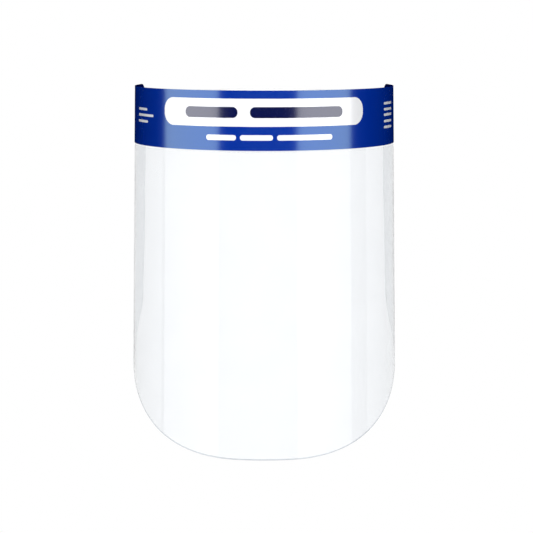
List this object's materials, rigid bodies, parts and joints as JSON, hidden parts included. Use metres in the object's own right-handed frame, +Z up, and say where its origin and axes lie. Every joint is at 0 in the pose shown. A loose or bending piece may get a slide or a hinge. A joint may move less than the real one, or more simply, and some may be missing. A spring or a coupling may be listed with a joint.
{
  "type": "face shield",
  "caption": "Disposable face shield: clear bent visor with a header band, a foam forehead bar and an elastic strap held by two rivets.",
  "frame": {"origin": "middle of the foam bar's inner face, where the forehead rests, level with the middle of the header band", "axes": "+X to the right as seen from the front, which is the wearer's left; +Y backwards, from the header towards the wearer's head; +Z up. The front of the shield faces -Y"},
  "size_m": [0.1676, 0.2102, 0.22],
  "materials": {
    "clear_pet": "clear polished PET sheet",
    "peel_film": "thin milky polyethylene peel film",
    "header_blue": "glossy deep blue printed film",
    "header_print_white": "white screen print",
    "header_print_navy": "navy screen print",
    "tape": "double-sided tape",
    "foam": "open-cell polyurethane foam",
    "elastic": "white knitted elastic",
    "rivet_nylon": "moulded white nylon",
    "washer_nylon": "moulded natural nylon"
  },
  "bodies": {
    "shield": {"visor": "clear_pet", "header_band": "header_blue", "protective_film_outer": "peel_film", "protective_film_inner": "peel_film", "foam_tape": "tape", "forehead_foam": "foam", "rivet_cap_left": "rivet_nylon", "rivet_post_left": "rivet_nylon", "spacer_washer_left": "washer_nylon", "backing_washer_left": "washer_nylon", "rivet_cap_right": "rivet_nylon", "rivet_post_right": "rivet_nylon", "spacer_washer_right": "washer_nylon", "backing_washer_right": "washer_nylon"},
    "strap_sides": {"strap_left_run": "elastic", "strap_right_run": "elastic"},
    "strap_back": {"strap_back_run": "elastic"}
  },
  "joints": [
    {"name": "strap_swing", "type": "hinge", "parent": "shield", "child": "strap_sides", "pos_m": [0, 0.07589, 0], "axis": [1, 0, 0], "range_deg": [-90, 60]},
    {"name": "strap_stretch", "type": "slide", "parent": "strap_sides", "child": "strap_back", "axis": [0, 1, 0], "range_m": [0, 0.04], "stiffness_N_per_m": 60}
  ]
}
